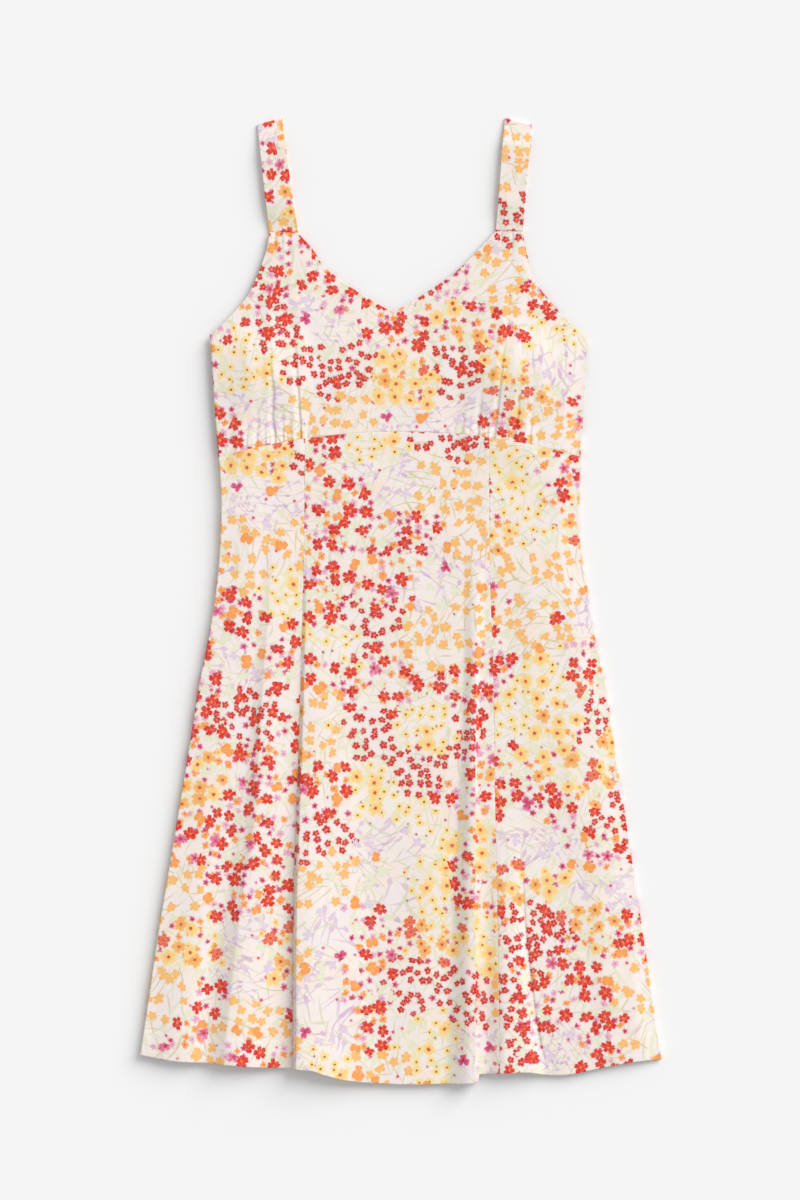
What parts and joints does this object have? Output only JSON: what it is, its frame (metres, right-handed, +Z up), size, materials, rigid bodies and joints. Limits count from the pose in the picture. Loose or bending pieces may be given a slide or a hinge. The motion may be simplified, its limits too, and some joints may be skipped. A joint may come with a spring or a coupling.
{
  "type": "sundress",
  "caption": "Short sundress laid flat, front up, with wide straps, a V neck, a gathered under-bust seam, a flared panelled skirt and a small mixed flower print.",
  "frame": {"origin": "middle of the dress's outline, on the surface that it lies on", "axes": "+Z up, out of the front of the dress; +Y from the hem towards the straps; +X to the right as the front is looked at"},
  "size_m": [0.5475, 1.0126, 0.015],
  "materials": {
    "printed_cloth": "matte"
  },
  "bodies": {
    "root": {"front_bodice": "printed_cloth", "front_skirt_left": "printed_cloth", "front_skirt_centre": "printed_cloth", "front_skirt_right": "printed_cloth", "back_bodice": "printed_cloth", "back_skirt": "printed_cloth", "strap_left": "printed_cloth", "strap_right": "printed_cloth"}
  },
  "joints": []
}
